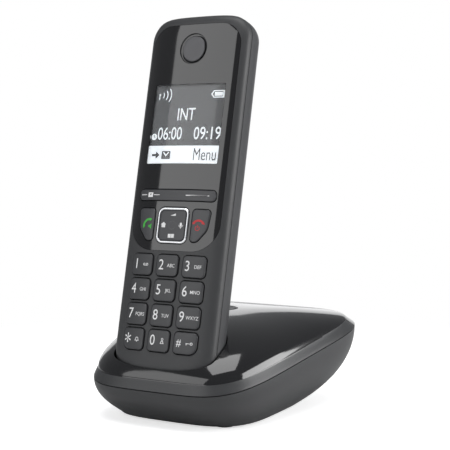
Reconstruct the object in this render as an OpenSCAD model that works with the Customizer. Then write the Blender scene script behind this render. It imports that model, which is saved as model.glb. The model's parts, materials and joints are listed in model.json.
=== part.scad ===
// Cordless telephone handset standing in its charging base.
// Origin: centre of the base's footprint on the table, +Z up, the keypad faces -Y.

/* [Handset] */
// Width across the handset
handset_w = 49; // [47:0.5:51]
// Length of the handset
handset_l = 155; // [151:1:159]
// Depth from the front face to the back
handset_t = 23; // [22.5:0.5:24]
// How far the docked handset leans back, in degrees
lean = 12.5; // [11:0.5:14]
// Wall thickness of the handset shells
shell_wall = 1.8; // [1.6:0.1:2]

/* [Keys] */
// Distance between key columns
pitch_x = 12.76; // [12.5:0.02:13]
// Distance between key rows
pitch_z = 10.44; // [10.2:0.02:10.6]
// Width of a number key
key_w = 10.5; // [10:0.1:10.8]
// Height of a number key
key_h = 8.9; // [8.6:0.1:9]
// Gap around each key
key_gap = 0.35; // [0.3:0.05:0.4]
// Height of the keys above the face
key_proud = 0.8; // [0.6:0.1:1]

/* [Display] */
// Width of the display window
window_w = 35.2; // [34:0.2:36]
// Height of the display window
window_h = 34.5; // [33:0.5:35]

/* [Base] */
// Mean width of the base along its seam
base_w = 91.6; // [89:0.2:94]
// Length of the base from front to back
base_l = 107; // [105:0.5:109]
// How much wider the base is at the back than in the middle
base_flare = 0.162; // [0.14:0.002:0.18]
// Wall thickness of the base shells
base_wall = 2; // [1.8:0.1:2.2]
// Radius of the handset finder key
page_r = 5.2; // [5:0.1:6]

/* [Hidden] */
$fn = 48;

// Places along the handset, measured from the middle of the number keys.
bottom = -31;
top = bottom + handset_l;
keypad_y = -43.6;
keypad_z = 51;
top_r = 10;
bottom_r = 12;
seam_depth = 6.5;
front_power = 2.8;
back_power = 2.8;
face_r = 125;
arc_step = 9;

// Depths of the layers behind the face.
plate_t = 1.2;
key_back = 2.7;
mat_front = 3.5;
mat_t = 0.8;
dome_front = 5.3;
dome_t = 0.25;
pcb_front = 5.6;
pcb_t = 1.2;

// Places of the controls along the handset.
nav_z = 32.6;
nav_outer = 15.3;
nav_rim = 1.2;
softkey_z = 45.4;
softkey_w = 37.8;
softkey_h = 4.6;
window_z = 76.2;
ear_z = 108.9;
ear_r = 5.55;
ear_dish_r = 8;
plate_w = 43.6;
plate_bottom = 21.9;
plate_top = 119.6;

// Screws that hold the two shells of the handset together.
handset_screw_places = [[-13, -25.6], [13, -25.6], [-9, 117], [9, 117]];

// Batteries and their door.
cell_r = 5.25;
cell_l = 44.5;
cell_z = 9;
cell_x = 6.4;
cell_y = 13.4;
door_bottom = 3;
door_top = 61;
door_w = 36;
door_y = 17;

// Outline and heights of the base.
half_w = base_w / 2;
half_l = base_l / 2;
outline_power = 4.78;
top_power = 2.8;
top_round = 0.555;
foot_half_w = 32.2;
foot_half_l = 39.7;
foot_flare = -0.07;
foot_power = 3.67;
foot_y = -1.3;
foot_t = 1;
slices = 48;
page_y = 7;
page_z = 43.1;
page_tilt = 6;
pin_x = 8;
socket_y = 45;
line_x = 14;
power_x = -14;
line_w = 9.8;
power_w = 7.8;
socket_z = 12;

// Screws that hold the two shells of the base together.
screw_places = [[-24, -14], [24, -14], [-24, 28], [24, 28]];
boss_top = 8;

function spow(v, p) = sign(v) * pow(abs(v), p);

// Drop of a quarter circle of radius r at distance d from where it ends.
function round_drop(d, r) = r - sqrt(max(0, r * r - pow(max(0, r - d), 2)));
function end_drop(z, top_round, bottom_round) =
    round_drop(top - z, top_round) + round_drop(z - bottom, bottom_round);

function half_at(z) = handset_w / 2 - end_drop(z, top_r, bottom_r);
function front_at(z) = end_drop(z, 3.5, 5);
function back_at(z) = handset_t - end_drop(z, 8, 6);

// Half sections of the handset across its length, grown outwards by g; past runs on behind the seam.
function front_section(z, g, past) = concat(
    [for (a = [180 : -arc_step : 0])
        let(w = half_at(z) + g, d = seam_depth - front_at(z) + g)
        [w * spow(cos(a), 2 / front_power), seam_depth - d * spow(sin(a), 2 / front_power)]],
    past == 0 ? [] : [for (i = [1, -1]) [i * (half_at(z) + g), seam_depth + past]]);
function back_section(z, g, past) = concat(
    [for (a = [0 : arc_step : 180])
        let(w = half_at(z) + g, d = back_at(z) - seam_depth + g)
        [w * spow(cos(a), 2 / back_power), seam_depth + d * spow(sin(a), 2 / back_power)]],
    past == 0 ? [] : [for (i = [-1, 1]) [i * (half_at(z) + g), seam_depth - past]]);

// Stations along the handset: close together on the rounded ends.
stations = concat(
    [for (a = [0 : 22.5 : 67.5]) bottom + bottom_r * (1 - cos(a))],
    [bottom + bottom_r, 50],
    [for (a = [90 : -22.5 : 0]) top - top_r * (1 - cos(a))]);

// Skin over rings of points that all have the same count, closed by flat ends.
module loft(rings) {
    n = len(rings[0]);
    m = len(rings);
    polyhedron(
        points = [for (r = rings) each r],
        faces = concat(
            [[for (i = [0 : n - 1]) i]],
            [for (k = [0 : m - 2], i = [0 : n - 1])
                let(j = (i + 1) % n)
                each [[k * n + i, (k + 1) * n + i, k * n + j],
                      [k * n + j, (k + 1) * n + i, (k + 1) * n + j]]],
            [[for (i = [n - 1 : -1 : 0]) (m - 1) * n + i]]));
}

function ring_3d(section, z) = [for (p = section) [p[0], p[1], z]];

// Stretch a station away from the middle so a grown form is longer too.
function stretch(z, g) = z + g * (z > (top + bottom) / 2 ? 1 : -1);

module front_form(g, past) {
    loft([for (z = stations) ring_3d(front_section(z, g, past), stretch(z, g))]);
}

module back_form(g, past) {
    loft([for (z = stations) ring_3d(back_section(z, g, past), stretch(z, g))]);
}

module in_handset() {
    translate([0, keypad_y, keypad_z]) rotate([-lean, 0, 0]) children();
}

// Rounded rectangle made of exact squares and circles.
module rounded_rect(w, h, r) {
    square([w - 2 * r, h], center = true);
    square([w, h - 2 * r], center = true);
    for (x = [-1, 1], y = [-1, 1]) translate([x * (w / 2 - r), y * (h / 2 - r)]) circle(r);
}

// Outline drawn on the handset's face, thick from depth y0 to y1.
module on_face(x, z, y0, y1) {
    translate([x, y1, z]) rotate([90, 0, 0]) linear_extrude(y1 - y0) children();
}

module block(w, h, r, x, z, y0, y1) {
    on_face(x, z, y0, y1) rounded_rect(w, h, r);
}

// The same block as one hull, for openings in the moulded shells.
module opening(w, h, r, x, z, y0, y1) {
    on_face(x, z, y0, y1)
        hull() for (i = [-1, 1], j = [-1, 1])
            translate([i * (w / 2 - r), j * (h / 2 - r)]) circle(r, $fn = 16);
}

// Cuts its children to the crowned face, raised by proud.
module crowned(proud) {
    intersection() {
        children();
        translate([0, face_r - proud, (top + bottom) / 2])
            cylinder(r = face_r, h = handset_l, center = true, $fn = 360);
    }
}

module plate_outline(g) {
    low_r = 12;
    high_r = 9;
    hull() {
        for (i = [-1, 1]) {
            translate([i * (plate_w / 2 - low_r), plate_bottom + low_r]) circle(low_r + g, $fn = 32);
            translate([i * (plate_w / 2 - high_r), plate_top - high_r]) circle(high_r + g, $fn = 32);
        }
    }
}

// Call and end keys taper downwards beside the navigation key; side is -1 or 1.
module call_outline(side, g) {
    hull() {
        translate([side * 15.6, nav_z + 6.2]) circle(1 + g, $fn = 24);
        translate([side * 9.9, nav_z + 6.2]) circle(1 + g, $fn = 24);
        translate([side * 9.9, nav_z - 5.5]) circle(1 + g, $fn = 24);
        translate([side * 11.6, nav_z - 5.1]) circle(1 + g, $fn = 24);
        translate([side * 14.8, nav_z + 0.4]) circle(1 + g, $fn = 24);
    }
}

module handset_front_shell() {
    color("#3a3b3e") in_handset() difference() {
        union() {
            difference() {
                front_form(0, 0);
                front_form(-shell_wall, 1);
            }
            for (p = handset_screw_places) on_face(p[0], p[1], 1.2, 14) circle(2.6, $fn = 20);
        }
        for (p = handset_screw_places) on_face(p[0], p[1], 6, 15) circle(1.05, $fn = 16);
        difference() {
            on_face(0, 0, -2, seam_depth) plate_outline(0.1);
            front_form(-plate_t - 0.1, 0);
        }
        opening(window_w + 3, window_h + 3, 1, 0, window_z, -1, seam_depth);
        opening(softkey_w + 0.8, softkey_h + 0.8, 2, 0, softkey_z, -1, seam_depth);
        opening(nav_outer + 0.6, nav_outer + 0.6, 3, 0, nav_z, -1, seam_depth);
        opening(2 * ear_r - 3, 2 * ear_r - 3, 3.5, 0, ear_z, -1, seam_depth);
        for (side = [-1, 1]) on_face(0, 0, -1, seam_depth) call_outline(side, 0.4);
        for (i = [-1 : 1], j = [0 : 3])
            opening(key_w + 2 * key_gap, key_h + 2 * key_gap, 1.8,
                i * pitch_x, (1.5 - j) * pitch_z, -1, seam_depth);
    }
}

module handset_back_shell() {
    color("#2f3033") in_handset() difference() {
        union() {
            difference() {
                back_form(0, 0);
                back_form(-shell_wall, 1);
            }
            intersection() {
                back_form(-0.5, 0);
                union() {
                    battery_tray();
                    for (p = handset_screw_places)
                        on_face(p[0], p[1], 14.1, handset_t) circle(3.2, $fn = 20);
                }
            }
        }
        opening(door_w + 0.4, door_top - door_bottom + 0.4, 3, 0, (door_top + door_bottom) / 2,
            door_y, handset_t + 2);
        for (i = [-2 : 2], j = [0 : 1])
            opening(1.6, 6, 0.8, i * 3.2, 82 + 8 * j, handset_t - 4, handset_t + 2);
        for (p = handset_screw_places) {
            on_face(p[0], p[1], seam_depth, handset_t + 2) circle(1.2, $fn = 16);
            on_face(p[0], p[1], handset_t - 2.5, handset_t + 2) circle(2.4, $fn = 20);
        }
        for (x = [-pin_x, pin_x]) on_face(x, bottom + 2, 8, 14) square([3.6, 6], center = true);
    }
}

// Walls and floor that hold the two cells behind the door.
module battery_tray() {
    inner_w = 2 * (cell_x + cell_r) + 1;
    inner_l = cell_l + 3.2;
    floor_y = cell_y - cell_r - 1.3;
    translate([-handset_w / 2, floor_y, cell_z - 3]) cube([handset_w, 1.2, inner_l + 2.8]);
    for (z = [cell_z - 3, cell_z - 1.6 + inner_l])
        translate([-handset_w / 2, floor_y, z]) cube([handset_w, handset_t - floor_y, 1.4]);
    for (x = [-1, 1]) translate([x * (inner_w / 2 + 0.7) - 0.7, floor_y, cell_z - 3])
        cube([1.4, handset_t - floor_y, inner_l + 2.8]);
}

module faceplate() {
    color("#0c0c0e") in_handset() difference() {
        intersection() {
            on_face(0, 0, -2, seam_depth) plate_outline(0);
            difference() {
                front_form(0, 0);
                front_form(-plate_t, 1);
            }
        }
        opening(window_w, window_h, 0.6, 0, window_z, -2, seam_depth);
        opening(softkey_w + 0.7, softkey_h + 0.7, 2, 0, softkey_z, -2, seam_depth);
        opening(nav_outer + 0.2, nav_outer + 0.2, 3, 0, nav_z, -2, seam_depth);
        for (side = [-1, 1]) on_face(0, 0, -2, seam_depth) call_outline(side, 0.35);
        opening(2 * ear_dish_r, 2 * ear_dish_r, ear_dish_r - 0.2, 0, ear_z, -2, 0.5);
        opening(2 * ear_r + 0.2, 2 * ear_r + 0.2, ear_r, 0, ear_z, -2, seam_depth);
    }
}

module display_window() {
    color("#b9bcc0") in_handset()
        crowned(-0.1) block(window_w - 0.2, window_h - 0.2, 0.5, 0, window_z, -1, 2);
}

module display_module() {
    color("#8f9296") in_handset() {
        block(38, window_h + 2.5, 1, 0, window_z, 2.8, 4.6);
        block(30, 3, 0.5, 0, window_z - 21, 3, 4.6);
    }
}

module earpiece_cover() {
    color("#55575b") in_handset() {
        on_face(0, ear_z, 0.2, 1.2) circle(ear_r);
        on_face(0, ear_z, 1.2, 2.6) circle(ear_r - 2);
    }
}

module earpiece_speaker() {
    color("#8a8c8f") in_handset() {
        on_face(0, ear_z, 2.8, 5.2) circle(8.5);
        on_face(0, ear_z, 5.2, 5.6) circle(5);
    }
}

module key_mat() {
    color("#4a4c50") in_handset() {
        block(38, 71.5, 3, 0, 13.25, mat_front, mat_front + mat_t);
        for (i = [-1 : 1], j = [0 : 3])
            on_face(i * pitch_x, (1.5 - j) * pitch_z, mat_front + mat_t, dome_front - 0.1)
                circle(1.5);
    }
}

module dome_switches() {
    color("#b8b49a") in_handset() {
        for (i = [-1 : 1], j = [0 : 3])
            on_face(i * pitch_x, (1.5 - j) * pitch_z, dome_front, dome_front + dome_t)
                circle(3);
        for (a = [0 : 90 : 270])
            on_face(4 * cos(a), nav_z + 4 * sin(a), dome_front, dome_front + dome_t)
                circle(1.6);
        for (x = [-1, 1]) {
            on_face(x * 12, nav_z, dome_front, dome_front + dome_t) circle(2.5);
            on_face(x * 14, softkey_z, dome_front, dome_front + dome_t) circle(2);
        }
    }
}

module handset_pcb() {
    color("#2c5a3c") in_handset() block(42, 133, 3, 0, 44.5, pcb_front, pcb_front + pcb_t);
}

module handset_shield() {
    color("#b4b6b8") in_handset() block(26, 20, 1, 0, 78, pcb_front + pcb_t, pcb_front + pcb_t + 2.4);
}

module loudspeaker() {
    color("#6f7276") in_handset() {
        on_face(0, 86, 15.6, 20) circle(12);
        on_face(0, 86, 13.4, 15.6) circle(7);
    }
}

module microphone() {
    color("#9a9ca0") in_handset() on_face(0, -26, 3.8, 5.8) circle(2);
}

module cell(x, up) {
    color("#4d7f59") in_handset() translate([x, cell_y, cell_z + cell_l / 2])
        rotate([up > 0 ? 0 : 180, 0, 0]) {
            translate([0, 0, -cell_l / 2]) cylinder(r = cell_r, h = cell_l - 1);
            translate([0, 0, cell_l / 2 - 1]) cylinder(r = 1.9, h = 1);
        }
}

module battery_1() {
    cell(-cell_x, 1);
}

module battery_2() {
    cell(cell_x, -1);
}

module battery_contacts() {
    gap = 0.2;
    color("#c9b26a") in_handset() for (x = [-1, 1], z = [cell_z - 1.4, cell_z + cell_l + gap])
        translate([x * cell_x - 3.5, cell_y - 3.5, z]) cube([7, 7, 0.8]);
}

module handset_contacts() {
    color("#c9b26a") in_handset() for (x = [-1, 1])
        translate([x * pin_x - 1.6, 8.4, bottom]) cube([3.2, 5.2, 1.2]);
}

module handset_screws() {
    head_y = handset_t - 2.5;
    color("#a7a9ac") in_handset() for (p = handset_screw_places) {
        on_face(p[0], p[1], head_y, head_y + 1.4) circle(2);
        on_face(p[0], p[1], head_y - 12, head_y) circle(0.95);
    }
}

module battery_door() {
    door_mid = (door_top + door_bottom) / 2;
    color("#2f3033") in_handset() difference() {
        intersection() {
            back_form(0, 0);
            opening(door_w, door_top - door_bottom, 3, 0, door_mid, door_y, handset_t + 2);
        }
        back_form(-shell_wall + 0.2, 1);
        for (j = [0 : 6])
            opening(12, 0.7, 0.3, 0, door_top - 5 - 1.6 * j, handset_t - 0.4, handset_t + 2);
    }
}

module softkey_bar() {
    color("#101113") in_handset()
        crowned(0.4) block(softkey_w, softkey_h, 2, 0, softkey_z, -1, 2.4);
}

module nav_frame() {
    color("#c3c6ca") in_handset() crowned(0.45) difference() {
        block(nav_outer, nav_outer, 3, 0, nav_z, -1, 2.4);
        block(nav_outer - 2 * nav_rim, nav_outer - 2 * nav_rim, 2, 0, nav_z, -2, 3);
    }
}

module nav_key() {
    side = nav_outer - 2 * nav_rim - 0.7;
    color("#101113") in_handset() crowned(0.5) block(side, side, 1.8, 0, nav_z, -1, 2.2);
}

module nav_pivot() {
    color("#4a4c50") in_handset() on_face(0, nav_z, 2.45, 3.3) circle(1.6);
}

module talk_key() {
    color("#101113") in_handset() crowned(0.6) on_face(0, 0, -1, key_back) call_outline(-1, 0);
}

module end_key() {
    color("#101113") in_handset() crowned(0.6) on_face(0, 0, -1, key_back) call_outline(1, 0);
}

// Number key in column -1, 0 or 1 and row 0 (top) to 3.
module number_key(column, row) {
    color("#46484b") in_handset() crowned(key_proud)
        block(key_w, key_h, 1.6, column * pitch_x, (1.5 - row) * pitch_z, -1, key_back);
}

module key_1() { number_key(-1, 0); }
module key_2() { number_key(0, 0); }
module key_3() { number_key(1, 0); }
module key_4() { number_key(-1, 1); }
module key_5() { number_key(0, 1); }
module key_6() { number_key(1, 1); }
module key_7() { number_key(-1, 2); }
module key_8() { number_key(0, 2); }
module key_9() { number_key(1, 2); }
module key_star() { number_key(-1, 3); }
module key_0() { number_key(0, 3); }
module key_hash() { number_key(1, 3); }

// Point at angle a on a rounded outline; u is its place from front -1 to back 1.
function outline_x(a, w, power, flare) =
    w * spow(cos(a), 2 / power) * (1 + flare * spow(sin(a), 2 / power));
function outline_u(a, power) = spow(sin(a), 2 / power);

// Heights of the base, from its front (u = -1) to its back (u = 1), and how far the rim leans in.
function seam_z(u) = 26.05 + 10.45 * u - 0.1 * u * u;
function rim_h(u) = 3.9 - 0.6 * u;
function rim_in(u) = 1.6 + 1.7 * pow((1 + u) / 2, 2);
function crown_z(u) = 42.7 + 3.8 * u - 3.8 * u * u;

// Ring of the glossy top, from r = 1 at the rim to r = 0 in the middle, inset by g.
function top_ring(r, g) = [for (i = [0 : slices - 1])
    let(a = 360 * i / slices, edge_u = outline_u(a, outline_power), u = edge_u * r,
        rim = seam_z(u) + rim_h(u), rise = pow(max(0, 1 - pow(r, top_power)), top_round))
    [outline_x(a, half_w - rim_in(edge_u) - g, outline_power, base_flare) * r,
     edge_u * (half_l - rim_in(edge_u) - g) * r,
     rim + (crown_z(u) - rim) * rise - g]];

function seam_ring(g, drop) = [for (i = [0 : slices - 1])
    let(a = 360 * i / slices, u = outline_u(a, outline_power))
    [outline_x(a, half_w - g, outline_power, base_flare), u * (half_l - g), seam_z(u) - drop]];

// Ring of the lower shell: t = 0 at the foot, 1 at the seam.
function lower_ring(t, g) = [for (i = [0 : slices - 1])
    let(a = 360 * i / slices, u = outline_u(a, outline_power), v = outline_u(a, foot_power),
        s = pow(sin(90 * t), 1.1 - 0.2 * v),
        x0 = outline_x(a, foot_half_w - g, foot_power, foot_flare),
        x1 = outline_x(a, half_w - g, outline_power, base_flare),
        y0 = foot_y + v * (foot_half_l - g), y1 = u * (half_l - g),
        z0 = foot_t + g, z1 = seam_z(u))
    [x0 + (x1 - x0) * s, y0 + (y1 - y0) * s, z0 + (z1 - z0) * (1 - cos(90 * t)) * 0.35
        + (z1 - z0) * t * 0.65]];

lower_steps = [0, 0.1, 0.25, 0.45, 0.7, 1];
top_radii = [1, 0.99, 0.97, 0.94, 0.9, 0.82, 0.7, 0.5, 0.25, 0.02];

// Solid under the top surface; its floor lies flat at floor_z.
module top_form(g, floor_z) {
    base_ring = [for (p = seam_ring(g, 0)) [p[0], p[1], floor_z]];
    loft(concat([base_ring, seam_ring(g, 0)], [for (r = top_radii) top_ring(r, g)]));
}

// The same solid, ending at the seam.
module top_solid() {
    loft(concat([[for (p = seam_ring(0, 0)) [p[0] * 0.02, p[1] * 0.02, seam_z(0)]]],
        [seam_ring(0, 0)], [for (r = top_radii) top_ring(r, 0)]));
}

// Well for the handset's foot: the handset's section, grown by g, from its bottom upwards.
module well(g) {
    low = bottom - g;
    length = 70;
    in_handset() union() {
        loft([for (z = [low : length : low + length])
            ring_3d(front_section(0, g, 0), z)]);
        loft([for (z = [low : length : low + length])
            ring_3d(back_section(0, g, 0), z)]);
    }
}

module base_top_cover() {
    color("#18191b") difference() {
        union() {
            difference() {
                top_solid();
                top_form(base_wall, 0);
            }
            intersection() {
                top_form(0, 2);
                well(2.4);
            }
            intersection() {
                top_form(1, boss_top + 0.1);
                for (p = screw_places) screw_post(p[0], p[1]);
            }
        }
        well(0.6);
        for (p = screw_places) translate([p[0], p[1], 0]) cylinder(r = 1.1, h = 16, $fn = 20);
        for (x = [-pin_x, pin_x]) in_handset()
            translate([x, 11, bottom - 4]) cylinder(r = 1.5, h = 5, $fn = 20);
        at_page_key() {
            translate([0, 0, -3]) cylinder(r = page_r + 0.35, h = 11, $fn = 48);
            translate([0, 0, -9]) cylinder(r = page_r + 1.6, h = 6.4, $fn = 48);
        }
    }
}

// Post under the top with a gusset on two sides.
module screw_post(x, y) {
    translate([x, y, boss_top + 0.1]) {
        hull() for (d = [-4, 4]) translate([d, 0, 0]) cylinder(r = 0.6, h = 40, $fn = 16);
        hull() for (d = [-4, 4]) translate([0, d, 0]) cylinder(r = 0.6, h = 40, $fn = 16);
        cylinder(r = 2.8, h = 40, $fn = 20);
    }
}

module base_bottom_shell() {
    vent_pitch = 4;
    color("#4b4d51") difference() {
        union() {
            difference() {
                loft([for (t = lower_steps) lower_ring(t, 0)]);
                loft(concat([for (t = lower_steps) lower_ring(t, base_wall)],
                    [seam_ring(base_wall, -1)]));
            }
            for (p = screw_places) translate([p[0], p[1], foot_t]) cylinder(r = 4, h = boss_top - foot_t, $fn = 24);
        }
        for (p = screw_places) translate([p[0], p[1], 0]) {
            cylinder(r = 2.7, h = 5, $fn = 24);
            cylinder(r = 1.2, h = 20, $fn = 20);
        }
        for (j = [0 : 7]) hull() for (x = [-9, 9])
            translate([x, vent_pitch * (j - 3.5), 0]) cylinder(r = 0.8, h = 6, $fn = 16);
        for (c = [[line_x, line_w], [power_x, power_w]])
            translate([c[0] - c[1] / 2 - 1.7, socket_y - 8, socket_z - 5]) cube([c[1] + 3.4, 30, 10]);
    }
}

// Key and its switch tilt with the slope of the top behind the handset.
module at_page_key() {
    translate([0, page_y, page_z]) rotate([page_tilt, 0, 0]) children();
}

module page_key() {
    color("#202124") at_page_key() {
        translate([0, 0, -2.6]) cylinder(r = page_r, h = 2.8);
        translate([0, 0, -3.4]) cylinder(r = page_r + 1.2, h = 0.8);
        translate([0, 0, -6]) cylinder(r = 1.8, h = 2.6);
    }
}

module page_switch() {
    color("#3c3d40") at_page_key() {
        translate([-3, -3, -11]) cube([6, 6, 3.4]);
        translate([0, 0, -7.6]) cylinder(r = 1.5, h = 0.7);
    }
}

// Circuit board of the base, tilted with the finder key so that its switch meets it.
module base_pcb() {
    color("#2c5a3c") at_page_key() translate([-19.5, -8, -12.2]) cube([39, 34, 1.2]);
}

module base_shield() {
    color("#b4b6b8") at_page_key() translate([-12, 8, -11]) cube([22, 16, 2.2]);
}

module charge_pin(x) {
    color("#c9b26a") in_handset() translate([x, 11, 0]) {
        translate([0, 0, bottom - 5.5]) cylinder(r = 1.2, h = 5.1);
        translate([0, 0, bottom - 6.5]) cylinder(r = 1.9, h = 1);
    }
}

module charge_pin_left() {
    charge_pin(-pin_x);
}

module charge_pin_right() {
    charge_pin(pin_x);
}

module charge_pin_holder() {
    holder_w = 24;
    color("#2a2b2e") in_handset() translate([0, 11, bottom - 10]) difference() {
        translate([-holder_w / 2, -3.5, 0]) cube([holder_w, 7, 7.6]);
        for (x = [-pin_x, pin_x]) translate([x, 0, 1]) cylinder(r = 2.2, h = 8);
    }
}

// Modular socket, open to the back.
module socket(x, w) {
    deep = 11;
    color("#1d1e20") translate([x, socket_y - deep, socket_z]) difference() {
        translate([-w / 2 - 1.5, 0, -4.8]) cube([w + 3, deep, 9.6]);
        translate([-w / 2, 1.5, -3.3]) cube([w, deep, 6.6]);
        translate([-2, 1.5, -4]) cube([4, deep, 1]);
    }
}

module line_socket() {
    socket(line_x, line_w);
}

module power_socket() {
    socket(power_x, power_w);
}

module base_feet() {
    color("#1a1a1c") for (x = [-22, 22], y = [-31, 28]) translate([x, y, 0]) cylinder(r = 4, h = foot_t);
}

module base_screws() {
    color("#a7a9ac") for (p = screw_places) translate([p[0], p[1], 3.2]) {
        cylinder(r = 2.4, h = 1.8);
        translate([0, 0, 1.8]) cylinder(r = 1, h = 9);
    }
}

handset_front_shell();
handset_back_shell();
faceplate();
display_window();
display_module();
earpiece_cover();
earpiece_speaker();
key_mat();
dome_switches();
handset_pcb();
handset_shield();
loudspeaker();
microphone();
battery_1();
battery_2();
battery_contacts();
handset_contacts();
handset_screws();
battery_door();
softkey_bar();
nav_key();
nav_pivot();
nav_frame();
talk_key();
end_key();
key_1();
key_2();
key_3();
key_4();
key_5();
key_6();
key_7();
key_8();
key_9();
key_star();
key_0();
key_hash();
base_top_cover();
base_bottom_shell();
page_key();
page_switch();
base_pcb();
base_shield();
charge_pin_left();
charge_pin_right();
charge_pin_holder();
line_socket();
power_socket();
base_feet();
base_screws();
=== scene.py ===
"""Cordless telephone on its charging base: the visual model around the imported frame."""

import json
import math

import bmesh
import bpy
import numpy as np
from mathutils import Matrix, Vector

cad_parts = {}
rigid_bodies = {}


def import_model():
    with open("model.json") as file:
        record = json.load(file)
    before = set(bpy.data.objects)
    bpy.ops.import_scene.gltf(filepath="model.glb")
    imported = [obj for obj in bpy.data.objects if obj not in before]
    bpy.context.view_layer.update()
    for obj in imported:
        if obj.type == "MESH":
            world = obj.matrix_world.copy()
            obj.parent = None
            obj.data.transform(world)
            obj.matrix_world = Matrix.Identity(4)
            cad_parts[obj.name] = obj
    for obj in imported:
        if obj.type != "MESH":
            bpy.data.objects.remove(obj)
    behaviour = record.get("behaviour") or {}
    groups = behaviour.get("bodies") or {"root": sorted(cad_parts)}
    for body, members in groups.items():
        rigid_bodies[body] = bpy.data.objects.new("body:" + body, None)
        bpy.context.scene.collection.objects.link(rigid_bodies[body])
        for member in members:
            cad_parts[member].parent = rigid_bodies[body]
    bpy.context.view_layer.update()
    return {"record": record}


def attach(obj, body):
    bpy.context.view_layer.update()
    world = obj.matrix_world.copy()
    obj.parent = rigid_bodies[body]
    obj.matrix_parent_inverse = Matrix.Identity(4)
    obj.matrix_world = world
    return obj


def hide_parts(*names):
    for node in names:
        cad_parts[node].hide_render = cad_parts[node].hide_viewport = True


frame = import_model()
JOINTS = {joint["name"]: joint for joint in frame["record"]["behaviour"]["joints"]}

MM = 0.001

# ---------------------------------------------------------------- sizes, in millimetres
# Handset, in its own frame: x across, y from the face to the back, z along it.
BOTTOM, TOP = -31.0, 124.0
HALF_W, DEPTH = 24.5, 23.0
TOP_R, BOTTOM_R = 10.0, 12.0
SEAM = 6.5
SEAM_GAP = 0.18
SECTION_POWER = 2.8
SHELL_WALL = 1.8
PLATE_T = 1.2
NAV_Z, NAV_OUTER, NAV_RIM = 32.6, 15.3, 0.95
NAV_DEPTH = 2.6
SOFTKEY_Z, SOFTKEY_W, SOFTKEY_H = 45.4, 37.8, 4.6
WINDOW_Z, WINDOW_W, WINDOW_H = 76.2, 35.2, 34.5
WINDOW_LOW, WINDOW_HIGH = WINDOW_Z - WINDOW_H / 2, WINDOW_Z + WINDOW_H / 2
MENU_H = 8.1
PANEL_DEPTH = 2.75
EAR_Z, EAR_R = 108.9, 5.55
PLATE_W, PLATE_BOTTOM, PLATE_TOP = 43.6, 21.9, 119.6
PITCH_X, PITCH_Z = 12.76, 10.44
KEY_W, KEY_H, KEY_GAP = 10.5, 8.9, 0.35
KEY_PROUD = 0.7
KEY_BACK = 2.7
DOOR_W, DOOR_BOTTOM, DOOR_TOP = 36.0, 3.0, 61.0
DOOR_MID = (DOOR_TOP + DOOR_BOTTOM) / 2
HANDSET_SCREWS = [(-13, -25.6), (13, -25.6), (-9, 117), (9, 117)]

# Base, standing on z = 0.
BASE_HALF_W, BASE_HALF_L = 45.8, 53.5
OUTLINE_POWER, FLARE = 4.78, 0.162
TOP_POWER, TOP_ROUND = 2.8, 0.555
FOOT_HALF_W, FOOT_HALF_L = 32.2, 39.7
FOOT_POWER, FOOT_FLARE, FOOT_Y, FOOT_T = 3.67, -0.07, -1.3, 1.0
BASE_WALL = 2.0
BASE_GAP = 0.4
WELL_GAP, WELL_OUTER = 0.6, 2.4
WELL_MID = -10.0
LINE_X, POWER_X, SOCKET_Z = 14.0, -14.0, 12.0
PAGE_Y, PAGE_Z, PAGE_TILT, PAGE_R = 7.0, 43.1, 6.0, 5.2

# The handset's frame comes from its joints: it lifts along itself, and the navigation key
# turns about a point a known depth behind the face.
ALONG = Vector(JOINTS["handset_lift"]["axis"]).normalized()
RIGHT = Vector((1, 0, 0))
BACK = ALONG.cross(RIGHT)
ORIGIN = Vector(JOINTS["nav_tilt_up_down"]["pos_m"]) - (BACK * NAV_DEPTH + ALONG * NAV_Z) * MM
HANDSET = Matrix.Translation(ORIGIN) @ Matrix((RIGHT, BACK, ALONG)).transposed().to_4x4()
HANDSET = HANDSET @ Matrix.Scale(MM, 4)
BASE = Matrix.Scale(MM, 4)
PAGE = BASE @ Matrix.Translation((0, PAGE_Y, PAGE_Z)) @ Matrix.Rotation(math.radians(PAGE_TILT), 4, "X")


# ---------------------------------------------------------------- camera and light
def aim(obj, target):
    obj.rotation_euler = (Vector(target) - obj.location).to_track_quat("-Z", "Y").to_euler()


def make_camera():
    data = bpy.data.cameras.new("camera")
    camera = bpy.data.objects.new("camera", data)
    bpy.context.scene.collection.objects.link(camera)
    data.sensor_width = 36
    data.lens = 90.08
    azimuth, drop = math.radians(30.83), math.radians(3.39)
    camera.location = (0.2589, -0.4276, 0.1107)
    camera.rotation_euler = (math.radians(90) - drop, 0, azimuth)
    data.clip_start, data.clip_end = 0.01, 20
    bpy.context.scene.camera = camera


def area_light(name, place, target, size, power, spread=180):
    data = bpy.data.lights.new(name, "AREA")
    data.shape = "RECTANGLE"
    data.size, data.size_y = size
    data.energy = power
    data.spread = math.radians(spread)
    light = bpy.data.objects.new(name, data)
    bpy.context.scene.collection.objects.link(light)
    light.location = place
    aim(light, target)


def make_lights():
    middle = (0, 0, 0.08)
    area_light("light_above", (0.15, -0.15, 1.15), middle, (0.9, 0.8), 8)
    area_light("light_right", (1.15, 0.45, 0.28), middle, (0.9, 0.9), 15)
    area_light("light_front", (-0.41, -1.13, 0.52), middle, (0.95, 0.9), 5)
    area_light("light_back", (-0.8, 1.35, 0.32), middle, (1.9, 0.6), 3.5)


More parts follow.
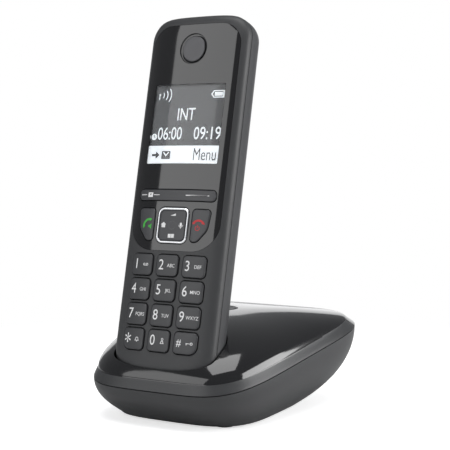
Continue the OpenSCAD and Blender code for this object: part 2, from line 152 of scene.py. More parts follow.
def make_world():
    world = bpy.data.worlds.new("studio")
    bpy.context.scene.world = world
    world.use_nodes = True
    nodes, links = world.node_tree.nodes, world.node_tree.links
    nodes.clear()
    out = nodes.new("ShaderNodeOutputWorld")
    mix = nodes.new("ShaderNodeMixShader")
    path = nodes.new("ShaderNodeLightPath")
    dim = nodes.new("ShaderNodeBackground")
    dim.inputs["Color"].default_value = (0.95, 0.97, 1.0, 1)
    dim.inputs["Strength"].default_value = 0.25
    white = nodes.new("ShaderNodeBackground")
    white.inputs["Color"].default_value = (1, 1, 1, 1)
    white.inputs["Strength"].default_value = 1.0
    links.new(path.outputs["Is Camera Ray"], mix.inputs["Fac"])
    links.new(dim.outputs["Background"], mix.inputs[1])
    links.new(white.outputs["Background"], mix.inputs[2])
    links.new(mix.outputs["Shader"], out.inputs["Surface"])


def make_floor():
    size = 3.0
    mesh = bpy.data.meshes.new("floor")
    corners = [(-size, -size, 0), (size, -size, 0), (size, size, 0), (-size, size, 0)]
    mesh.from_pydata(corners, [], [(0, 1, 2, 3)])
    floor = bpy.data.objects.new("floor", mesh)
    bpy.context.scene.collection.objects.link(floor)
    mesh.materials.append(floor_material())


def floor_material():
    """Pale floor that keeps the object's shadow and bounces a little less light than it shows."""
    made = bpy.data.materials.new("floor")
    made.use_nodes = True
    nodes, links = made.node_tree.nodes, made.node_tree.links
    shader = nodes["Principled BSDF"]
    shader.inputs["Roughness"].default_value = 0.9
    shader.inputs["Specular IOR Level"].default_value = 0.1
    path = nodes.new("ShaderNodeLightPath")
    colour = nodes.new("ShaderNodeMix")
    colour.data_type = "RGBA"
    colour.inputs["A"].default_value = (0.75, 0.75, 0.75, 1)
    colour.inputs["B"].default_value = (0.95, 0.95, 0.95, 1)
    links.new(path.outputs["Is Camera Ray"], colour.inputs["Factor"])
    links.new(colour.outputs["Result"], shader.inputs["Base Color"])
    glow = nodes.new("ShaderNodeMath")
    glow.operation = "MULTIPLY"
    glow.inputs[1].default_value = 0.62
    links.new(path.outputs["Is Camera Ray"], glow.inputs[0])
    shader.inputs["Emission Color"].default_value = (1, 1, 1, 1)
    links.new(glow.outputs[0], shader.inputs["Emission Strength"])
    fade_to_white(nodes, links, shader, path)
    return made


def fade_to_white(nodes, links, shader, path):
    """Away from the object the camera sees plain white, so that the floor has no far edge."""
    place = nodes.new("ShaderNodeTexCoord")
    away = nodes.new("ShaderNodeVectorMath")
    away.operation = "LENGTH"
    links.new(place.outputs["Object"], away.inputs[0])
    fade = nodes.new("ShaderNodeMapRange")
    fade.inputs["From Min"].default_value = 0.08
    fade.inputs["From Max"].default_value = 0.28
    links.new(away.outputs["Value"], fade.inputs["Value"])
    seen = nodes.new("ShaderNodeMath")
    seen.operation = "MULTIPLY"
    links.new(fade.outputs["Result"], seen.inputs[0])
    links.new(path.outputs["Is Camera Ray"], seen.inputs[1])
    white = nodes.new("ShaderNodeEmission")
    white.inputs["Color"].default_value = (1, 1, 1, 1)
    mix = nodes.new("ShaderNodeMixShader")
    links.new(seen.outputs[0], mix.inputs["Fac"])
    links.new(shader.outputs["BSDF"], mix.inputs[1])
    links.new(white.outputs["Emission"], mix.inputs[2])
    links.new(mix.outputs["Shader"], nodes["Material Output"].inputs["Surface"])


# ---------------------------------------------------------------- materials
def material(name, colour, roughness, specular=0.5, metallic=0.0, mottle=0.06, mottle_scale=60,
             grain=0.0, grain_scale=3500, rough_spread=0.05, coat=0.0, coat_roughness=0.03, emission=0.0):
    """Moulded or metal surface: colour and roughness drift slowly, and a fine grain bumps it."""
    made = bpy.data.materials.new(name)
    made.use_nodes = True
    nodes, links = made.node_tree.nodes, made.node_tree.links
    shader = nodes["Principled BSDF"]
    shader.inputs["Metallic"].default_value = metallic
    shader.inputs["Specular IOR Level"].default_value = specular
    shader.inputs["Coat Weight"].default_value = coat
    shader.inputs["Coat Roughness"].default_value = coat_roughness
    place = nodes.new("ShaderNodeTexCoord")
    drift = nodes.new("ShaderNodeTexNoise")
    drift.inputs["Scale"].default_value = mottle_scale
    drift.inputs["Detail"].default_value = 4
    links.new(place.outputs["Object"], drift.inputs["Vector"])
    shade = nodes.new("ShaderNodeMix")
    shade.data_type = "RGBA"
    shade.inputs["A"].default_value = (*[c * (1 - mottle) for c in colour], 1)
    shade.inputs["B"].default_value = (*[c * (1 + mottle) for c in colour], 1)
    links.new(drift.outputs["Fac"], shade.inputs["Factor"])
    links.new(shade.outputs["Result"], shader.inputs["Base Color"])
    rough = nodes.new("ShaderNodeMapRange")
    rough.inputs["To Min"].default_value = max(0.0, roughness - rough_spread)
    rough.inputs["To Max"].default_value = min(1.0, roughness + rough_spread)
    links.new(drift.outputs["Fac"], rough.inputs["Value"])
    links.new(rough.outputs["Result"], shader.inputs["Roughness"])
    if grain:
        fine = nodes.new("ShaderNodeTexNoise")
        fine.inputs["Scale"].default_value = grain_scale
        fine.inputs["Detail"].default_value = 2
        links.new(place.outputs["Object"], fine.inputs["Vector"])
        bump = nodes.new("ShaderNodeBump")
        bump.inputs["Strength"].default_value = grain
        bump.inputs["Distance"].default_value = 0.00005
        links.new(fine.outputs["Fac"], bump.inputs["Height"])
        links.new(bump.outputs["Normal"], shader.inputs["Normal"])
    if emission:
        links.new(shade.outputs["Result"], shader.inputs["Emission Color"])
        shader.inputs["Emission Strength"].default_value = emission
    return made


def glass_material(name):
    made = material(name, (0.9, 0.92, 0.94), 0.03, rough_spread=0.01, mottle=0.01)
    shader = made.node_tree.nodes["Principled BSDF"]
    shader.inputs["Transmission Weight"].default_value = 1.0
    shader.inputs["IOR"].default_value = 1.47
    return made


def make_materials():
    return {
        "front": material("matt_charcoal", (0.036, 0.037, 0.039), 0.5, grain=0.35),
        "back": material("matt_charcoal_back", (0.04, 0.041, 0.044), 0.46, grain=0.35),
        "gloss": material("polished_black", (0.006, 0.006, 0.007), 0.07, rough_spread=0.015, coat=0.6,
                          mottle=0.1),
        "key": material("key_charcoal", (0.042, 0.043, 0.046), 0.42, grain=0.15),
        "plate_key": material("plate_key_charcoal", (0.045, 0.046, 0.05), 0.38, grain=0.12),
        "chrome": material("bright_chrome", (0.78, 0.79, 0.81), 0.14, metallic=1, mottle=0.03,
                           rough_spread=0.03),
        "ear": material("earpiece_satin", (0.09, 0.09, 0.095), 0.35, metallic=0.4, grain=0.2),
        "legend": material("legend_white", (0.8, 0.8, 0.8), 0.5, mottle=0.02),
        "faint": material("legend_faint", (0.11, 0.11, 0.115), 0.5, mottle=0.03),
        "green": material("legend_green", (0.05, 0.42, 0.05), 0.45, mottle=0.04),
        "red": material("legend_red", (0.5, 0.01, 0.015), 0.45, mottle=0.04),
        "panel": material("display_panel", (0.018, 0.0185, 0.02), 0.35, mottle=0.03, emission=0.1),
        "pixel": material("display_figures", (0.85, 0.87, 0.88), 0.5, mottle=0.01, emission=0.75),
        "pixel_dark": material("display_dark_figures", (0.03, 0.03, 0.032), 0.5, mottle=0.02),
        "glass": glass_material("display_lens"),
        "base_gloss": material("base_polished_black", (0.007, 0.007, 0.008), 0.1, rough_spread=0.02, coat=0.5,
                               mottle=0.1),
        "satin": material("satin_charcoal", (0.036, 0.037, 0.039), 0.4, grain=0.18),
        "silicone": material("grey_silicone", (0.08, 0.08, 0.085), 0.6, grain=0.3),
        "board": material("solder_resist", (0.015, 0.09, 0.04), 0.35, mottle=0.25, mottle_scale=700),
        "tin": material("tinned_steel", (0.6, 0.6, 0.6), 0.32, metallic=1, grain=0.2),
        "gold": material("gold_contact", (0.83, 0.68, 0.36), 0.25, metallic=1, mottle=0.04),
        "speaker": material("speaker_metal", (0.5, 0.5, 0.51), 0.4, metallic=1, grain=0.3),
        "cell": material("cell_sleeve", (0.04, 0.22, 0.09), 0.3, mottle=0.05),
        "steel": material("zinc_steel", (0.56, 0.56, 0.57), 0.3, metallic=1, grain=0.2),
        "socket": material("socket_black", (0.02, 0.02, 0.022), 0.5, grain=0.3),
        "rubber": material("foot_rubber", (0.015, 0.015, 0.015), 0.8, grain=0.6, grain_scale=2500),
    }


# ---------------------------------------------------------------- mesh helpers
def new_object(name, verts, faces, matrix):
    mesh = bpy.data.meshes.new(name)
    placed = [matrix @ Vector(v) for v in verts]
    mesh.from_pydata(placed, [], [tuple(int(i) for i in f) for f in faces])
    bm = bmesh.new()
    bm.from_mesh(mesh)
    bmesh.ops.remove_doubles(bm, verts=bm.verts, dist=1e-7)
    bmesh.ops.recalc_face_normals(bm, faces=bm.faces)
    bm.to_mesh(mesh)
    bm.free()
    obj = bpy.data.objects.new(name, mesh)
    bpy.context.scene.collection.objects.link(obj)
    return obj


def loft_faces(rings, count):
    faces = []
    for low in range(0, (rings - 1) * count, count):
        for i in range(count):
            after = (i + 1) % count
            faces.append([low + i, low + after, low + count + after, low + count + i])
    last = (rings - 1) * count
    return faces + [list(range(count))[::-1], [last + i for i in range(count)]]


def loft(name, rings, matrix):
    rings = np.asarray(rings, float)
    return new_object(name, rings.reshape(-1, 3), loft_faces(rings.shape[0], rings.shape[1]), matrix)


def combine(target, tools, how="DIFFERENCE"):
    """Cuts, joins or intersects target with each tool, and deletes the tools."""
    for tool in tools:
        step = target.modifiers.new(how, "BOOLEAN")
        step.operation = how
        step.solver = "MANIFOLD"
        step.object = tool
    graph = bpy.context.evaluated_depsgraph_get()
    mesh = bpy.data.meshes.new_from_object(target.evaluated_get(graph))
    target.modifiers.clear()
    old = target.data
    target.data = mesh
    bpy.data.meshes.remove(old)
    for tool in tools:
        bpy.data.objects.remove(tool)
    return target


def finish_piece(obj, body, paint, replaced=(), sharp=32, weighted=True):
    """Smooth shading up to the sharp angle, one material, and the ties to the frame."""
    mesh = obj.data
    mesh.materials.clear()
    mesh.materials.append(paint)
    for face in mesh.polygons:
        face.use_smooth = True
    mesh.set_sharp_from_angle(angle=math.radians(sharp))
    if weighted:
        even = obj.modifiers.new("even normals", "WEIGHTED_NORMAL")
        even.keep_sharp = True
        even.weight = 60
    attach(obj, body)
    if replaced:
        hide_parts(*replaced)
    return obj


def spow(value, power):
    return np.sign(value) * np.abs(value) ** power


# ---------------------------------------------------------------- outlines, in the x-z plane of the face
def rounded_polygon(corners, radii, steps=8):
    """Outline of a polygon with a round corner at each point, anticlockwise."""
    points = []
    count = len(corners)
    for i in range(count):
        p = np.array(corners[i], float)
        a = np.array(corners[i - 1], float) - p
        b = np.array(corners[(i + 1) % count], float) - p
        a, b = a / np.linalg.norm(a), b / np.linalg.norm(b)
        half = math.acos(np.clip(a @ b, -1, 1)) / 2
        reach = radii[i] / math.tan(half)
        start, end = p + a * reach, p + b * reach
        centre = p + (a + b) / np.linalg.norm(a + b) * radii[i] / math.sin(half)
        first = math.atan2(*(start - centre)[::-1])
        turn = (math.atan2(*(end - centre)[::-1]) - first + math.pi) % (2 * math.pi) - math.pi
        for k in range(steps + 1):
            angle = first + turn * k / steps
            points.append(centre + radii[i] * np.array([math.cos(angle), math.sin(angle)]))
    return np.array(points)


def rounded_box(x, z, w, h, radii, steps=8):
    corners = [(x - w / 2, z - h / 2), (x + w / 2, z - h / 2), (x + w / 2, z + h / 2), (x - w / 2, z + h / 2)]
    radii = [radii] * 4 if np.isscalar(radii) else radii
    return rounded_polygon(corners, radii, steps)


def refine(outline, longest=0.8):
    """Adds points to the straight stretches so that a crowned top follows the face."""
    points = []
    for i, p in enumerate(outline):
        q = outline[(i + 1) % len(outline)]
        parts = max(1, int(np.ceil(np.linalg.norm(q - p) / longest)))
        points += [p + (q - p) * k / parts for k in range(parts)]
    return np.array(points)


def inset(outline, distance):
    before, after = np.roll(outline, 1, 0), np.roll(outline, -1, 0)
    tangent = after - before
    tangent /= np.linalg.norm(tangent, axis=1)[:, None]
    return outline - np.stack([tangent[:, 1], -tangent[:, 0]], 1) * distance


def face_depth(x):
    """Depth of the face's surface at x, in the straight part of the handset."""
    across = np.clip(1 - np.abs(np.asarray(x, float) / HALF_W) ** SECTION_POWER, 0, 1)
    return SEAM - SEAM * across ** (1 / SECTION_POWER)


def prism(name, outline, y0, y1, flare=0.0):
    """Cutter through the face along its depth; flare widens its mouth at the surface."""
    outline = refine(outline)
    levels = [(y1, 0.0), (y0, 0.0)] if not flare else [(y1, 0.0), (None, 0.0), (None, flare), (y0, flare)]
    rings = []
    for i, (y, grow) in enumerate(levels):
        ring = inset(outline, -grow)
        depth = face_depth(outline[:, 0]) + (flare if i == 1 else 0)
        if y is not None:
            depth = np.full(len(ring), y)
        rings.append(np.stack([ring[:, 0], depth, ring[:, 1]], 1))
    return loft(name, rings, HANDSET)


def pad(name, outline, proud, back, edge=0.35, dome=0.0, base=face_depth, steps=4):
    """Key or trim: straight sides, a rounded edge and a top that follows the face."""
    outline = refine(outline)
    middle = outline.mean(0)
    rings = [np.stack([outline[:, 0], np.full(len(outline), back), outline[:, 1]], 1)]
    for k in range(steps + 1):
        turn = math.pi / 2 * k / steps
        ring = inset(outline, edge * (1 - math.cos(turn)))
        rise = edge * math.sin(turn)
        rings.append(np.stack([ring[:, 0], base(ring[:, 0]) - proud + edge - rise, ring[:, 1]], 1))
    last = rings[-1][:, [0, 2]]
    for scale in (0.92, 0.8, 0.62, 0.42, 0.2, 0.02):
        ring = middle + (last - middle) * scale
        crown = base(ring[:, 0]) - proud - dome * (1 - scale ** 2)
        rings.append(np.stack([ring[:, 0], crown, ring[:, 1]], 1))
    return loft(name, rings, HANDSET)


# ---------------------------------------------------------------- figures printed on the keys and display
def curve_mesh(curve, matrix):
    obj = bpy.data.objects.new("figure", curve)
    bpy.context.scene.collection.objects.link(obj)
    graph = bpy.context.evaluated_depsgraph_get()
    mesh = bpy.data.meshes.new_from_object(obj.evaluated_get(graph))
    verts = [matrix @ v.co for v in mesh.vertices]
    faces = [list(f.vertices) for f in mesh.polygons]
    bpy.data.objects.remove(obj)
    bpy.data.meshes.remove(mesh)
    return verts, faces


def text_figure(body, height, x, z, squeeze=1.0, bold=0.0):
    """Letters as flat outlines: (verts, faces), x across and y up, with a thin z."""
    curve = bpy.data.curves.new("text", "FONT")
    curve.body = body
    curve.size = height / 0.72
    curve.align_x = "CENTER"
    curve.align_y = "CENTER"
    curve.extrude = 0.02
    curve.offset = bold
    curve.resolution_u = 4
    return curve_mesh(curve, Matrix.Translation((x, z, 0)) @ Matrix.Diagonal((squeeze, 1, 1, 1)))


def shape_figure(*outlines):
    """Filled flat shape; an outline inside another is a hole."""
    curve = bpy.data.curves.new("shape", "CURVE")
    curve.dimensions = "2D"
    curve.fill_mode = "BOTH"
    curve.extrude = 0.02
    for outline in outlines:
        outline = refine(np.array(outline), 0.7)
        spline = curve.splines.new("POLY")
        spline.points.add(len(outline) - 1)
        for point, (px, pz) in zip(spline.points, outline):
            point.co = (px, pz, 0, 1)
        spline.use_cyclic_u = True
    return curve_mesh(curve, Matrix.Identity(4))


def circle(x, z, r, start=0, end=360, steps=24):
    """Points of a circle, or of an arc from start to end degrees with both ends kept."""
    turns = [math.radians(start + (end - start) * k / steps) for k in range(steps + (end - start != 360))]
    return [(x + r * math.cos(turn), z + r * math.sin(turn)) for turn in turns]


def arc_band(x, z, r, width, start, end, steps=16):
    return circle(x, z, r + width / 2, start, end, steps) + circle(x, z, r - width / 2, end, start, steps)


def bar(x, z, w, h):
    return [(x - w / 2, z - h / 2), (x + w / 2, z - h / 2), (x + w / 2, z + h / 2), (x - w / 2, z + h / 2)]


def print_figures(name, figures, depth, body, paint):
    """Lays flat figures on the face; depth(x) is the surface that they lie on."""
    verts, faces = [], []
    for part_verts, part_faces in figures:
        start = len(verts)
        verts += part_verts
        faces += [[start + i for i in f] for f in part_faces]
    placed = [(v.x, float(depth(v.x)) - 0.03 - v.z, v.y) for v in verts]
    obj = new_object(name, placed, faces, HANDSET)
    return finish_piece(obj, body, paint, sharp=40, weighted=False)


# ---------------------------------------------------------------- handset shells
def end_drop(z, top_round, bottom_round):
    def drop(distance, r):
        return r - math.sqrt(max(0.0, r * r - max(0.0, r - distance) ** 2))
    return drop(TOP - z, top_round) + drop(z - BOTTOM, bottom_round)


def stations(steps=14, middle=40):
    low = [BOTTOM + BOTTOM_R * (1 - math.cos(math.pi / 2 * k / steps)) for k in range(steps)]
    high = [TOP - TOP_R * (1 - math.cos(math.pi / 2 * k / steps)) for k in range(steps, -1, -1)]
    straight = list(np.linspace(BOTTOM + BOTTOM_R, TOP - TOP_R, middle))[:-1]
    return low + straight + high


def half_rings(front, grow, past=0.0, gap=0.0, count=72):
    """Sections of the front or back half of the handset, grown outwards."""
    turns = np.linspace(0, math.pi, count + 1)
    rings = []
    for z in stations():
        half = HALF_W - end_drop(z, TOP_R, BOTTOM_R) + grow
        reach = SEAM - end_drop(z, 3.5, 5) if front else DEPTH - SEAM - end_drop(z, 8, 6)
        side = -1 if front else 1
        x = half * spow(np.cos(turns), 2 / SECTION_POWER)
        y = SEAM + side * (gap + (reach - gap + grow) * np.abs(np.sin(turns)) ** (2 / SECTION_POWER))
        if past:
            x = np.append(x, [-half, half])
            y = np.append(y, [SEAM - side * past] * 2)
        stretched = z + grow * (1 if z > (TOP + BOTTOM) / 2 else -1)
        rings.append(np.stack([x, y, np.full(len(x), stretched)], 1))
    return rings


def plate_outline(grow=0.0):
    low, high, half = 12.0, 9.0, PLATE_W / 2
    corners = [(-half, PLATE_BOTTOM), (half, PLATE_BOTTOM), (half, PLATE_TOP), (-half, PLATE_TOP)]
    return inset(refine(rounded_polygon(corners, [low, low, high, high], 14)), -grow)


def call_outline(side, grow=0.0):
    """Call key's outline: square above, with its outer edge sweeping in below."""
    high, low = NAV_Z + 7.0, NAV_Z - 6.9
    corners = [(9.3, low), (12.6, low + 0.4), (16.6, low + 5.4), (17.6, high), (9.3, high)]
    radii = [1.6, 2.6, 5.0, 1.6, 1.6]
    if side < 0:
        corners, radii = [(-x, z) for x, z in corners][::-1], radii[::-1]
    return inset(refine(rounded_polygon(corners, radii, 8)), -grow)


def key_place(column, row):
    """Centre of a number key, counting rows from the top and columns from -1."""
    return column * PITCH_X, (1.5 - row) * PITCH_Z


def key_outline(column, row, grow=0.0):
    x, z = key_place(column, row)
    radii = [1.8, 1.8, 1.8, 1.8]
    if row == 3 and column:
        radii[0 if column < 0 else 1] = 3.4
    return inset(rounded_box(x, z, KEY_W, KEY_H, radii), -grow)


def make_handset_front(paints):
    shell = loft("handset_front_casing", half_rings(True, 0, gap=SEAM_GAP), HANDSET)
    combine(shell, [loft("hollow", half_rings(True, -SHELL_WALL, past=1.0), HANDSET)])
    sunk = prism("plate recess", plate_outline(0.12), -3, SEAM)
    combine(sunk, [loft("below plate", half_rings(True, -PLATE_T - 0.1, past=1.0), HANDSET)])
    openings = [prism("window", rounded_box(0, WINDOW_Z, WINDOW_W + 3, WINDOW_H + 3, 1.0), -3, 5),
                prism("softkeys", rounded_box(0, SOFTKEY_Z, SOFTKEY_W + 0.8, SOFTKEY_H + 0.8, 2.2), -3, 5),
                prism("nav", rounded_box(0, NAV_Z, NAV_OUTER + 0.6, NAV_OUTER + 0.6, 3.2), -3, 5),
                prism("ear", rounded_box(0, EAR_Z, 8.1, 8.1, 4.0), -3, 5)]
    openings += [prism("call", call_outline(side, 0.45), -3, 5) for side in (-1, 1)]
    openings += [prism("key", key_outline(i, j, KEY_GAP), -3, 5, flare=0.14)
                 for i in (-1, 0, 1) for j in range(4)]
    combine(shell, [sunk])
    combine(shell, openings)
    finish_piece(shell, "handset", paints["front"], ["handset_front_shell"])


def make_faceplate(paints):
    plate = prism("faceplate_gloss", plate_outline(0), -3, SEAM)
    combine(plate, [loft("face", half_rings(True, 0), HANDSET)], "INTERSECT")
    tools = [loft("under", half_rings(True, -PLATE_T, past=1.0), HANDSET)]
    tools += [prism("window", rounded_box(0, WINDOW_Z, WINDOW_W, WINDOW_H, 0.6), -3, 5),
              prism("softkeys", rounded_box(0, SOFTKEY_Z, SOFTKEY_W + 0.6, SOFTKEY_H + 0.6, 2.1), -3, 5,
                    flare=0.1),
              prism("nav", rounded_box(0, NAV_Z, NAV_OUTER + 0.4, NAV_OUTER + 0.4, 3.2), -3, 5, flare=0.1)]
    tools += [prism("call", call_outline(side, 0.3), -3, 5, flare=0.1) for side in (-1, 1)]
    tools += [ear_dish()]
    for tool in tools:
        combine(plate, [tool])
    finish_piece(plate, "handset", paints["gloss"], ["faceplate"])


def ear_dish():
    """Shallow dish round the earpiece disc, with the disc's own hole in it."""
    profile = [(EAR_R + 1.3, -2.0), (EAR_R + 1.2, 0.3), (EAR_R + 0.95, 0.65), (EAR_R + 0.3, 0.7),
               (EAR_R + 0.1, 0.8), (EAR_R + 0.1, 3.0)]
    return ear_turned("dish", profile)


def ear_turned(name, profile):
    """Solid of revolution about the earpiece's axis from (radius, depth) points."""
    turns = np.linspace(0, 2 * math.pi, 72, endpoint=False)
    rings = [np.stack([r * np.cos(turns), np.full(72, y), EAR_Z + r * np.sin(turns)], 1) for r, y in profile]
    return loft(name, rings, HANDSET)


def make_earpiece(paints):
    profile = [(0.05, 1.2), (EAR_R, 1.2), (EAR_R, 0.35), (EAR_R - 0.15, 0.2), (EAR_R - 0.4, 0.12),
               (0.6 * EAR_R, 0.16), (0.05, 0.18)]
    disc = ear_turned("earpiece_disc", profile)
    finish_piece(disc, "handset", paints["ear"], ["earpiece_cover"])


def make_handset_back(paints):
    shell = loft("handset_back_casing", half_rings(False, 0, gap=SEAM_GAP), HANDSET)
    tools = [loft("hollow", half_rings(False, -SHELL_WALL, past=1.0), HANDSET)]
    doorway = rounded_box(0, DOOR_MID, DOOR_W + 0.4, DOOR_TOP - DOOR_BOTTOM + 0.4, 3.1)
    tools.append(prism("door", doorway, 17, DEPTH + 3))
    tools += [prism("slot", rounded_box(i * 3.2, 82 + 8 * j, 1.6, 6, 0.78), DEPTH - 5, DEPTH + 3)
              for i in range(-2, 3) for j in (0, 1)]
    tools += [prism("screw", rounded_box(x, z, 4.8, 4.8, 2.39), DEPTH - 6, DEPTH + 3)
              for x, z in HANDSET_SCREWS]
    combine(shell, tools[:1])
    combine(shell, tools[1:])
    finish_piece(shell, "handset", paints["back"], ["handset_back_shell"])


def make_battery_door(paints):
    door = loft("battery_cover", half_rings(False, 0), HANDSET)
    outline = rounded_box(0, DOOR_MID, DOOR_W, DOOR_TOP - DOOR_BOTTOM, 3)
    combine(door, [prism("edge", outline, 17, DEPTH + 3)], "INTERSECT")
    combine(door, [loft("inside", half_rings(False, -SHELL_WALL + 0.2, past=1.0), HANDSET)])
    grips = [prism("grip", rounded_box(0, DOOR_TOP - 5 - 1.6 * j, 12, 0.8, 0.38), DEPTH - 0.45, DEPTH + 3)
             for j in range(7)]
    combine(door, grips)
    finish_piece(door, "battery_door", paints["back"], ["battery_door"])


# ---------------------------------------------------------------- keys, display and their figures
def make_keys(paints):
    labels = [["1", "2", "3"], ["4", "5", "6"], ["7", "8", "9"], ["star", "0", "hash"]]
    for row in range(4):
        for column in (-1, 0, 1):
            make_number_key(labels[row][column + 1], column, row, paints)


def make_number_key(label, column, row, paints):
    body = "key_" + label
    key = pad("keycap_" + label, key_outline(column, row), KEY_PROUD, KEY_BACK, edge=0.4, dome=0.12)
    finish_piece(key, body, paints["key"], [body], sharp=50)
    figures = key_figures(label, *key_place(column, row))
    surface = plate_surface(KEY_PROUD + 0.1)
    print_figures("figures_" + label, figures, surface, body, paints["legend"])


def key_figures(label, x, z):
    """The key's digit or sign, with its letters or icon to the right of it."""
    letters = {"2": "ABC", "3": "DEF", "4": "GHI", "5": "JKL"}
    letters.update({"6": "MNO", "7": "PQRS", "8": "TUV", "9": "WXYZ"})
    icons = {"1": message_icon, "star": bell_icon, "0": shift_icon, "hash": lock_icon}
    signs = {"star": ("*", 6.6, -1.6), "hash": ("#", 3.2, 0.0)}
    sign, height, rise = signs.get(label, (label, 4.4, 0.0))
    main_figure = text_figure(sign, height, x - 2.7, z + rise, squeeze=0.86, bold=0.008)
    if label in letters:
        return [main_figure, text_figure(letters[label], 1.5, x + 2.1, z - 0.1, squeeze=0.92, bold=0.006)]
    return [main_figure] + icons[label](x + 2.1, z)


def message_icon(x, z):
    loops = [shape_figure(circle(x + side, z, 0.55), circle(x + side, z, 0.3)) for side in (-0.75, 0.75)]
    return loops + [shape_figure(bar(x, z - 0.47, 1.5, 0.2))]


def bell_icon(x, z):
    body = [(x - 1.0, z - 0.75)] + circle(x, z + 0.1, 0.72, 180, 0, 12) + [(x + 1.0, z - 0.75)]
    inner = [(x - 0.62, z - 0.5)] + circle(x, z + 0.1, 0.48, 180, 0, 12) + [(x + 0.62, z - 0.5)]
    return [shape_figure(body, inner), shape_figure(circle(x, z - 1.0, 0.22))]


def shift_icon(x, z):
    outer = [(x - 0.9, z - 1.1), (x + 0.9, z - 1.1), (x + 0.45, z + 0.1), (x - 0.45, z + 0.1)]
    inner = [(x - 0.5, z - 0.85), (x + 0.5, z - 0.85), (x + 0.25, z - 0.15), (x - 0.25, z - 0.15)]
    return [shape_figure(circle(x, z + 0.75, 0.55), circle(x, z + 0.75, 0.32)), shape_figure(outer, inner)]


def lock_icon(x, z):
    return [shape_figure(circle(x + 1.0, z, 0.6), circle(x + 1.0, z, 0.33)),
            shape_figure(bar(x - 0.5, z, 2.0, 0.26)), shape_figure(bar(x - 1.2, z - 0.35, 0.3, 0.6))]


def plate_surface(proud):
    def depth(x):
        return float(face_depth(x)) - proud
    return depth


def make_controls(paints):
    make_softkey_bar(paints)
    for side, body, name in ((-1, "talk_key", "call_rocker"), (1, "end_key", "hangup_rocker")):
        key = pad(name, call_outline(side), 0.4, KEY_BACK, edge=0.35, dome=0.1)
        finish_piece(key, body, paints["plate_key"], [body], sharp=50)
    top = plate_surface(0.5)
    print_figures("call_mark", talk_figures(), top, "talk_key", paints["green"])
    print_figures("hangup_mark", end_figures(), top, "end_key", paints["red"])
    make_nav_frame(paints)
    make_nav_key(paints)


def make_softkey_bar(paints):
    outline = rounded_box(0, SOFTKEY_Z, SOFTKEY_W, SOFTKEY_H, 1.9)
    softkey = pad("softkey_rocker", outline, 0.25, 2.4, edge=0.3)
    finish_piece(softkey, "softkey_bar", paints["plate_key"], ["softkey_bar"], sharp=50)
    x, z = -12.9, SOFTKEY_Z
    flap = [(x - 0.7, z + 0.55), (x, z - 0.25), (x + 0.7, z + 0.55), (x + 0.45, z + 0.7), (x, z + 0.15),
            (x - 0.45, z + 0.7)]
    marks = [shape_figure(bar(-16.3, z, 2.9, 0.3)), shape_figure(bar(-9.7, z, 3.0, 0.3)),
             shape_figure(bar(x, z, 2.5, 2.0), flap), shape_figure(bar(10.5, z, 11.0, 0.36))]
    print_figures("softkey_marks", marks, plate_surface(0.25), "softkey_bar", paints["legend"])


def talk_figures():
    """Lifted receiver with a small loudspeaker under it."""
    z = NAV_Z
    speaker = [(-10.4, z - 1.9), (-10.4, z + 0.5), (-11.4, z - 0.3), (-12.0, z - 0.3), (-12.0, z - 1.1),
               (-11.4, z - 1.1)]
    return [shape_figure(handset_icon(-13.0, z + 1.0, 42, 2.9)), shape_figure(speaker)]


def end_figures():
    """Resting receiver with the on-off sign under it."""
    return [shape_figure(handset_icon(12.7, NAV_Z + 1.6, 0, 2.9)),
            shape_figure(arc_band(12.4, NAV_Z - 0.9, 0.95, 0.3, 125, 415)),
            shape_figure(bar(12.4, NAV_Z - 0.2, 0.3, 1.3))]


def handset_icon(x, z, turn, reach):
    """Curved receiver: a bowed band with a pad at each end."""
    outer = circle(0, -2.2, 3.4, 35, 145, 12)
    inner = circle(0, -2.2, 2.5, 125, 55, 12)
    shape = outer + [(-reach, -0.9), (-1.7, -0.75)] + inner + [(1.7, -0.75), (reach, -0.9)]
    c, s = math.cos(math.radians(turn)), math.sin(math.radians(turn))
    return [(x + (px * c - pz * s) * 0.98, z + (px * s + pz * c) * 0.98) for px, pz in shape]


def make_nav_frame(paints):
    """Chrome ring: (inset, depth behind the face or None, height above it) for each of its loops."""
    levels = [(0, 2.4, None), (0, None, -0.1), (0.12, None, 0.22), (0.4, None, 0.42), (0.75, None, 0.42),
              (1.05, None, 0.2), (NAV_RIM, None, -0.1), (NAV_RIM, 2.4, None)]
    outer = refine(rounded_box(0, NAV_Z, NAV_OUTER, NAV_OUTER, 3.0))
    rings = []
    for grow, depth, proud in levels:
        ring = inset(outer, grow)
        y = np.full(len(ring), depth) if depth is not None else face_depth(ring[:, 0]) - proud
        rings.append(np.stack([ring[:, 0], y, ring[:, 1]], 1))
    rings = np.array(rings)
    count = rings.shape[1]
    last = (len(rings) - 1) * count
    faces = loft_faces(len(rings), count)[:-2]
    faces += [[last + i, last + (i + 1) % count, (i + 1) % count, i] for i in range(count)]
    rim = new_object("nav_rim", rings.reshape(-1, 3), faces, HANDSET)
    finish_piece(rim, "handset", paints["chrome"], ["nav_frame"], sharp=60)


def make_nav_key(paints):
    side = NAV_OUTER - 2 * NAV_RIM - 0.6
    key = pad("nav_rocker", rounded_box(0, NAV_Z, side, side, 1.9), 0.3, 2.2, edge=0.35)
    finish_piece(key, "nav_key", paints["plate_key"], ["nav_key"], sharp=50)
    top = plate_surface(0.3)
    print_figures("nav_marks", nav_figures(NAV_Z), top, "nav_key", paints["legend"])
    ring = [shape_figure(circle(0, NAV_Z, 1.75), circle(0, NAV_Z, 1.6))]
    print_figures("nav_centre", ring, top, "nav_key", paints["faint"])


